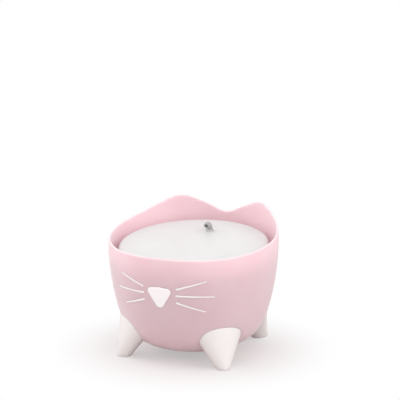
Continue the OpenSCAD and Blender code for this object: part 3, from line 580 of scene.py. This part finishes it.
def film_surface():
    """A closed sheet from the hub out to the rounded square edge and back underneath. Its top swells
    over each pouch, sinks along the cross between them and carries small creases."""
    turn = np.linspace(0, 2 * np.pi, 240, endpoint=False)[None, :]
    edge = film_half / (np.abs(np.cos(turn)) ** 9 + np.abs(np.sin(turn)) ** 9) ** (1 / 9)
    share = np.linspace(0, 1, 46)[:, None]
    r = hub_r + (edge - hub_r) * share
    x, y = r * np.cos(turn), r * np.sin(turn)
    swell = (np.clip(1 - ((np.abs(x) - pod_shift) / pod_half) ** 2, 0, 1)
             * np.clip(1 - ((np.abs(y) - pod_shift) / pod_half) ** 2, 0, 1)) ** 0.6
    crease = np.sin(410 * x + 2.2 * np.sin(160 * y)) * np.sin(370 * y + 1.7 * np.sin(190 * x + 1))
    top = film_t + film_swell * swell + film_crease * crease
    bottom = 0.0001 + 0 * top
    z = np.vstack([top, bottom[::-1]])
    x, y = np.vstack([x, x[::-1]]), np.vstack([y, y[::-1]])
    return np.stack([x, y - well_y, z + film_z], -1)


def pouch(name, sx, sy):
    """A puffed cushion with a rounded square outline, cut back round the hub. From the middle of its
    top each line runs out to the outline, bulges down the side and returns under it."""
    turn = np.linspace(0, 2 * np.pi, 128, endpoint=False)[None, :]
    edge = pod_half / (np.abs(np.cos(turn)) ** 5 + np.abs(np.sin(turn)) ** 5) ** (1 / 5)
    away = turn - np.arctan2(-sy, -sx)
    d = pod_shift * np.sqrt(2)
    hit = np.abs(np.sin(away)) * d < hub_r
    hub = np.where(hit & (np.cos(away) > 0),
                   d * np.cos(away) - np.sqrt(np.maximum(hub_r**2 - (d * np.sin(away)) ** 2, 0)), 1.0)
    edge = np.minimum(edge, hub - 0.0003)
    bend = np.linspace(0, np.pi / 2, 14)
    inset = np.concatenate([[0], pod_tuck * (1 - np.cos(bend) ** 1.4)])[:, None]
    drop = np.concatenate([[0], pod_shoulder + pod_depth * np.sin(bend) ** 1.5])[:, None]
    side_r, side_z = edge - inset, -drop + 0 * turn
    cap = np.linspace(0.02, 1, 9)[:-1, None]
    r = np.vstack([cap * edge, side_r, cap[::-1] * side_r[-1]])
    z = np.vstack([0 * cap + 0 * turn, side_z, side_z[-1] + 0 * cap])
    x, y = r * np.cos(turn) + sx * pod_shift, r * np.sin(turn) + sy * pod_shift - well_y
    return grid_piece(name, np.stack([x, y, z + film_z], -1), caps=True)


def granules(name, deep, pale, scale):
    """A pouch full of granules: cells of slightly different tone press through the cloth and lift it."""
    material = bpy.data.materials.new(name)
    material.use_nodes = True
    tree = material.node_tree
    skin = tree.nodes["Principled BSDF"]
    skin.inputs["Roughness"].default_value = 0.75
    skin.inputs["Specular IOR Level"].default_value = 0.3
    place, cell, ramp, bump = (tree.nodes.new(k) for k in (
        "ShaderNodeTexCoord", "ShaderNodeTexVoronoi", "ShaderNodeValToRGB", "ShaderNodeBump"))
    cell.inputs["Scale"].default_value = scale
    ramp.color_ramp.elements[0].color, ramp.color_ramp.elements[1].color = deep, pale
    bump.inputs["Strength"].default_value, bump.inputs["Distance"].default_value = 0.5, 0.0006
    bump.invert = True
    tree.links.new(place.outputs["Object"], cell.inputs["Vector"])
    tree.links.new(cell.outputs["Distance"], bump.inputs["Height"])
    tree.links.new(cell.outputs["Color"], ramp.inputs["Fac"])
    tree.links.new(ramp.outputs["Color"], skin.inputs["Base Color"])
    tree.links.new(bump.outputs["Normal"], skin.inputs["Normal"])
    return material


def film_material():
    """Translucent cloth over two media: cool grey-green on the left and warm peach on the right, each
    stronger where a pouch touches the film, with fibres in the tone and the bump."""
    material = bpy.data.materials.new("film_cloth")
    material.use_nodes = True
    tree = material.node_tree
    make, wire = tree.nodes.new, tree.links.new
    skin = tree.nodes["Principled BSDF"]
    skin.inputs["Roughness"].default_value = 0.55
    place, split, fibre, cloud, bump = (make("ShaderNode" + k) for k in (
        "TexCoord", "SeparateXYZ", "TexNoise", "TexNoise", "Bump"))
    wire(place.outputs["Object"], split.inputs[0])
    for noise, scale, detail in ((fibre, 1400, 3), (cloud, 90, 3)):
        noise.inputs["Scale"].default_value, noise.inputs["Detail"].default_value = scale, detail
        wire(place.outputs["Object"], noise.inputs["Vector"])

    def over_pouch(source, middle):
        """1 over the middle of a pouch along one axis, 0 at its edge."""
        shift, size, reach, span = (make("ShaderNodeMath") for _ in range(4))
        shift.operation, reach.operation = "ADD", "SUBTRACT"
        size.operation = span.operation = "ABSOLUTE"
        shift.inputs[1].default_value, reach.inputs[1].default_value = middle, pod_shift
        ramp = make("ShaderNodeMapRange")
        ramp.interpolation_type = "SMOOTHSTEP"
        ramp.inputs["From Min"].default_value = pod_half + 0.001
        ramp.inputs["From Max"].default_value = pod_half - 0.003
        wire(source, shift.inputs[0])
        wire(shift.outputs[0], size.inputs[0])
        wire(size.outputs[0], reach.inputs[0])
        wire(reach.outputs[0], span.inputs[0])
        wire(span.outputs[0], ramp.inputs["Value"])
        return ramp.outputs["Result"]

    both, dim = make("ShaderNodeMath"), make("ShaderNodeMath")
    both.operation = dim.operation = "MULTIPLY"
    wire(over_pouch(split.outputs["X"], 0), both.inputs[0])
    wire(over_pouch(split.outputs["Y"], well_y), both.inputs[1])
    tone = make("ShaderNodeMapRange")
    tone.inputs["To Min"].default_value, tone.inputs["To Max"].default_value = 0.55, 1.0
    wire(cloud.outputs["Fac"], tone.inputs["Value"])
    wire(both.outputs[0], dim.inputs[0])
    wire(tone.outputs["Result"], dim.inputs[1])
    side = make("ShaderNodeMapRange")
    side.inputs["From Min"].default_value, side.inputs["From Max"].default_value = -0.002, 0.002
    wire(split.outputs["X"], side.inputs["Value"])
    media, cloth = make("ShaderNodeMix"), make("ShaderNodeMix")
    media.data_type = cloth.data_type = "RGBA"
    media.inputs[6].default_value = light(224, 233, 230)
    media.inputs[7].default_value = light(248, 232, 219)
    cloth.inputs[6].default_value = light(250, 251, 247)
    wire(side.outputs["Result"], media.inputs[0])
    wire(dim.outputs[0], cloth.inputs[0])
    wire(media.outputs[2], cloth.inputs[7])
    wire(cloth.outputs[2], skin.inputs["Base Color"])
    bump.inputs["Strength"].default_value, bump.inputs["Distance"].default_value = 0.25, 0.0002
    wire(fibre.outputs["Fac"], bump.inputs["Height"])
    wire(bump.outputs["Normal"], skin.inputs["Normal"])
    return material


film = grid_piece("film_flange", film_surface(), wrap_rows=True)
fit_out(film, film_material(), "filter", "filter_film", "filter_film")
for hand, label, node, slot, deep, pale, scale in (
        (-1, "carbon", "carbon_pods", "carbon_medium", light(140, 150, 142), light(186, 194, 188), 900),
        (1, "resin", "resin_pods", "resin_medium", light(216, 180, 160), light(240, 216, 202), 1100)):
    pair = join_pieces(label + "_pouches", [pouch(label, hand, -1), pouch(label, hand, 1)])
    pair.data.polygons.foreach_set("use_smooth", np.ones(len(pair.data.polygons), bool))
    fit_out(pair, granules(label + "_granules", deep, pale, scale), "filter", slot, node)


# ---------------------------------------------------------------- top cover
# A shallow white cap whose flat top slopes down to the nose. Its shoulder is rounded, its skirt is
# cut away at the front to let the water out, and one hole passes the spout.

cover_r, cover_skin, cover_side, cover_base = 0.08829, 0.0016, 0.002, 0.1156
cover_mid, cover_slope, gap_turn = 0.1292, 0.093, np.radians(25.5)
cover_hole_r, shoulder, foot_round, hole_round = 0.0044, 0.003, 0.0005, 0.0003


def cover_surface():
    """One closed grid. Each column runs up the skirt, round the shoulder and over the sloping top to
    the hole, then back along the underside. Columns in front start at the gap's top instead."""
    gap = np.array([-gap_turn - 0.0004, -gap_turn, gap_turn, gap_turn + 0.0004])
    turn = np.sort(np.concatenate([np.linspace(-np.pi, np.pi, 300, endpoint=False), gap]))[None, :]
    open_front = np.abs(turn) <= gap_turn + 1e-6
    plane = cover_mid - cover_slope * cover_r * np.cos(turn)
    gap_top = cover_mid - cover_slope * cover_r - cover_skin
    foot = np.where(open_front, gap_top, cover_base)
    r, z = [], []
    for a in np.linspace(-np.pi / 2, 0, 5):
        r.append(cover_r - foot_round + foot_round * np.cos(a) + 0 * turn)
        z.append(foot + foot_round + foot_round * np.sin(a))
    drop = np.minimum(shoulder, plane - foot - 0.0006)
    for a in np.linspace(0, np.pi / 2, 9):
        drawn_in = shoulder - shoulder * np.cos(a)
        r.append(cover_r - drawn_in + 0 * turn)
        z.append(plane - drop + drop * np.sin(a) + cover_slope * drawn_in * np.cos(turn))
    out = around(np.vstack(r), turn, np.vstack(z))
    hole = around(cover_hole_r, turn, 0 * turn) + [0, tube_y, 0]

    def over(edge, share, drop_by):
        """Points between the shoulder's inner end and the hole, on the sloping plane lowered by drop_by."""
        p = edge * (1 - share) + hole * share
        p[..., 2] = cover_mid + cover_slope * p[..., 1] - drop_by
        return p

    top = np.concatenate([over(out[-1:], s, 0) for s in np.linspace(0.04, 0.99, 24)])
    rim = np.concatenate([over(out[-1:], 1, hole_round), over(out[-1:], 1, cover_skin - hole_round)])
    inner_r = cover_r - cover_side
    under_edge = around(inner_r - 0.001 + 0 * turn, turn, 0 * turn)
    under = np.concatenate([over(under_edge, s, cover_skin) for s in np.linspace(0.99, 0, 24)])
    inner_top = np.maximum(cover_mid - cover_slope * inner_r * np.cos(turn) - cover_skin - 0.001, foot)
    inner = [around(inner_r + 0 * turn, turn, level) for level in (inner_top, foot)]
    return np.concatenate([out, top, rim, under, *inner])


cover = grid_piece("cover_shell", cover_surface(), wrap_rows=True)
cover.data.set_sharp_from_angle(angle=0.9)
# Darker than the tray's white, though it is the same plastic: painted shade that holds down the strong
# light on the cover's top.
cover_white_painted_shade = plastic("cover_white_painted_shade", light(221, 220, 219), light(225, 224, 223), 0.36,
                      Subsurface_Weight=0.5, Subsurface_Radius=(1.0, 1.0, 1.0), Subsurface_Scale=0.006)
fit_out(cover, cover_white_painted_shade, "cover", "white_plastic", "top_cover")


# ---------------------------------------------------------------- riser tube, sleeve and spout
# A soft translucent tube carries the water up to the collar. A short sleeve of the same soft
# plastic holds the foot of the grey elbow spout, which can be turned in it.

pump_top, tube_end, sleeve_foot, sleeve_top = 0.048, 0.1227, 0.1233, 0.1348


def pipe_wall(outer, inner, low, high):
    """Outline of an upright pipe's wall with slightly rounded ends."""
    corners = (outer, low), (outer, high), (inner, high), (inner, low)
    return rounded_line([(*corner, 0.0003) for corner in corners], 4)


soft = plastic("soft_tube", light(253, 252, 250), light(255, 254, 252), 0.35, Subsurface_Weight=0.4,
               Subsurface_Radius=(1.0, 1.0, 1.0), Subsurface_Scale=0.004)
riser = lathe("riser_pipe", pipe_wall(0.0053, 0.0037, pump_top, tube_end), (0, tube_y, 0), 64)
fit_out(riser, soft, "riser", "soft_tube", "riser_tube")
sleeve = lathe("sleeve_pipe", pipe_wall(0.0035, 0.00255, sleeve_foot, sleeve_top), (0, tube_y, 0), 64)
sleeve_soft = plastic("soft_sleeve", light(214, 212, 210), light(220, 218, 216), 0.4)
fit_out(sleeve, sleeve_soft, "spout_foot", "soft_tube", "spout_sleeve")

spout_r, spigot_r, bore_r, bend_r, outlet = 0.0035, 0.0025, 0.0017, 0.0063, 0.0026
spout_height, spigot_length = 0.022, 0.006
bend_z = sleeve_foot + spout_height - bend_r - spout_r


def elbow_surface():
    """A pipe along an upright line, an arc of 105 degrees and a short straight outlet: each row is a
    circle across the path, and the rows run up the outside and back down the bore."""
    arc = np.radians(105)
    rise = bend_z - (sleeve_top - spigot_length)
    whole = rise + bend_r * arc + outlet
    outer = np.concatenate([[0.0003, 0.0058, 0.0061, 0.0064], np.linspace(0.0075, whole - 0.0012, 40),
                            [whole - 0.0004, whole - 0.0001]])
    radius = np.concatenate([[spigot_r] * 2, [spout_r - 0.0004, spout_r], np.full(40, spout_r),
                             [spout_r - 0.0002, spout_r - 0.0006]])
    along = np.concatenate([[0], outer, [whole], np.linspace(whole - 0.0004, 0.0004, 34)])
    radius = np.concatenate([[spigot_r - 0.0003], radius, [bore_r + 0.0005], np.full(34, bore_r)])
    a = np.clip((along - rise) / bend_r, 0, arc)
    past = np.maximum(along - rise - bend_r * arc, 0)
    y = tube_y - bend_r + bend_r * np.cos(a) - past * np.sin(a)
    z = bend_z + bend_r * np.sin(a) + past * np.cos(a) + np.minimum(along - rise, 0)
    turn = np.linspace(0, 2 * np.pi, 48, endpoint=False)
    across, out = radius[:, None] * np.cos(turn), radius[:, None] * np.sin(turn)
    a, y, z = a[:, None], y[:, None], z[:, None]
    return np.stack([across, y + out * np.cos(a), z + out * np.sin(a)], -1)


elbow = grid_piece("spout_elbow", elbow_surface(), wrap_rows=True)
spout_grey = plastic("spout_grey", light(162, 163, 163), light(170, 170, 170), 0.4)
fit_out(elbow, spout_grey, "nozzle", "grey_plastic", "spout")


# ---------------------------------------------------------------- pump
# A submersible pump in pale grey plastic with softly rounded edges. Its white front frame holds the
# flow dial, the port with the dark red impeller behind it, and a thin open door on a steel pin.

pump_z, pump_half, side_band, rear_u, stub_foot = 0.023, 0.014, 0.0035, -0.0075, 0.006


def pump_edges(a, b):
    """The housing's upper and lower edges, apart from the stub's foot and the front face."""
    middle = (a + b) / 2
    u = (middle[:, :2] - [0, tube_y]) @ pump_out
    v = (middle[:, :2] - [0, tube_y]) @ pump_side
    flat = np.abs(a[:, 2] - b[:, 2]) < 1e-5
    high, low = np.abs(middle[:, 2] - pump_top) < 1e-5, np.abs(middle[:, 2] - pump_z) < 1e-5
    outside = (np.abs(v) > pump_half - side_band) | (u < rear_u)
    return flat & (high | low) & outside & (np.hypot(u, v) > stub_foot)


pump_grey = plastic("pump_grey", light(220, 226, 225), light(226, 232, 231), 0.4)
# The front parts' white is lifted to nearly pure white: painted light against the shade they sit in inside
# the bowl.
pump_white = plastic("pump_white", light(252, 252, 252), light(254, 254, 254), 0.4)
housing = softened("pump_housing", "pump_shell", [(pump_edges, 0.0014, 4)])
fit_out(housing, pump_grey, "pump", "pump_plastic", "pump_housing")
for node in ("pump_faceplate", "impeller_cover", "pump_front_door"):
    dress(node, pump_white)
dress("flow_dial", plastic("dial_grey", light(214, 215, 214), light(220, 221, 220), 0.5))
dress("impeller", plastic("impeller_red", light(120, 30, 36), light(130, 36, 42), 0.4))
dress("rotor_magnet", plastic("magnet_black", light(50, 50, 52), light(60, 60, 62), 0.6))
steel = plastic("pin_steel", light(200, 200, 202), light(210, 210, 212), 0.3, Metallic=1.0)
for node in ("door_pin", "impeller_shaft"):
    dress(node, steel)
dress("suction_feet", plastic("suction_clear", light(246, 226, 229), light(250, 230, 233), 0.3, Alpha=0.25))
dress("cord_gland", plastic("gland_grey", light(150, 150, 152), light(160, 160, 162), 0.6))


# ---------------------------------------------------------------- floor and light
# A pale floor under a white surround, with large soft lamps overhead, at each side and in
# front. The floor's pink tint is painted light: it stands in for the pink glow the bowl throws into
# its shadow. The camera sees the floor fade to plain white away from the fountain's shadow.

floor_mesh = bpy.data.meshes.new("floor")
floor_mesh.from_pydata([(-4, -4, 0), (4, -4, 0), (4, 4, 0), (-4, 4, 0)], [], [(0, 1, 2, 3)])
floor = bpy.data.objects.new("floor", floor_mesh)
bpy.context.scene.collection.objects.link(floor)
floor_paper_painted_bounce = bpy.data.materials.new("floor_paper_painted_bounce")
floor_paper_painted_bounce.use_nodes = True
tree = floor_paper_painted_bounce.node_tree
matt = tree.nodes["Principled BSDF"]
# Pink tint: painted light for the pink glow the bowl throws into its shadow on the floor.
matt.inputs["Base Color"].default_value = (0.68, 0.62, 0.615, 1)
matt.inputs["Roughness"].default_value = 0.9
matt.inputs["Specular IOR Level"].default_value = 0
glow, rays, share_node, mix, where, length, fade = (tree.nodes.new(k) for k in (
    "ShaderNodeEmission", "ShaderNodeLightPath", "ShaderNodeMath", "ShaderNodeMixShader",
    "ShaderNodeTexCoord", "ShaderNodeVectorMath", "ShaderNodeMapRange"))
length.operation, share_node.operation = "LENGTH", "MULTIPLY"
fade.interpolation_type = "SMOOTHSTEP"
fade.inputs["From Min"].default_value, fade.inputs["From Max"].default_value = 0.06, 0.18
fade.inputs["To Min"].default_value = 0.42
tree.links.new(where.outputs["Object"], length.inputs[0])
tree.links.new(length.outputs["Value"], fade.inputs["Value"])
tree.links.new(fade.outputs["Result"], share_node.inputs[1])
tree.links.new(rays.outputs["Is Camera Ray"], share_node.inputs[0])
tree.links.new(share_node.outputs[0], mix.inputs["Fac"])
tree.links.new(matt.outputs[0], mix.inputs[1])
tree.links.new(glow.outputs[0], mix.inputs[2])
tree.links.new(mix.outputs[0], tree.nodes["Material Output"].inputs["Surface"])
floor_mesh.materials.append(floor_paper_painted_bounce)

world = bpy.data.worlds.new("surround")
bpy.context.scene.world = world
world.use_nodes = True
tree = world.node_tree
sky = tree.nodes["Background"]
sky.inputs["Color"].default_value = (1, 1, 1, 1)
rays = tree.nodes.new("ShaderNodeLightPath")
first, second, level = (tree.nodes.new("ShaderNodeMath") for _ in range(3))
first.operation = second.operation = "MAXIMUM"
tree.links.new(rays.outputs["Is Camera Ray"], first.inputs[0])
tree.links.new(rays.outputs["Is Glossy Ray"], first.inputs[1])
tree.links.new(first.outputs[0], second.inputs[0])
tree.links.new(rays.outputs["Is Transmission Ray"], second.inputs[1])
level.operation = "MULTIPLY_ADD"
level.inputs[1].default_value, level.inputs[2].default_value = 0.3, 0.7
tree.links.new(second.outputs[0], level.inputs[0])
tree.links.new(level.outputs[0], sky.inputs["Strength"])


def softbox(name, place, aim, size, power):
    """A square area lamp at a place, turned towards a point."""
    lamp = bpy.data.lights.new(name, "AREA")
    lamp.size, lamp.energy = size, power
    holder = bpy.data.objects.new(name, lamp)
    bpy.context.scene.collection.objects.link(holder)
    holder.location = place
    holder.rotation_euler = (Vector(aim) - Vector(place)).to_track_quat("-Z", "Y").to_euler()
    return holder


softbox("overhead", (-0.2, 0.1, 1.7), (0, 0, 0.1), 1.4, 4)
softbox("left", (-1.4, -0.2, 0.9), (0, 0, 0.15), 1.2, 10)
softbox("right", (1.4, 0.0, 0.9), (0, 0, 0.15), 1.2, 10)
softbox("front", (0.3, -1.7, 1.1), (0, 0, 0.2), 1.6, 8.5)

bpy.context.scene.view_settings.view_transform = "Standard"
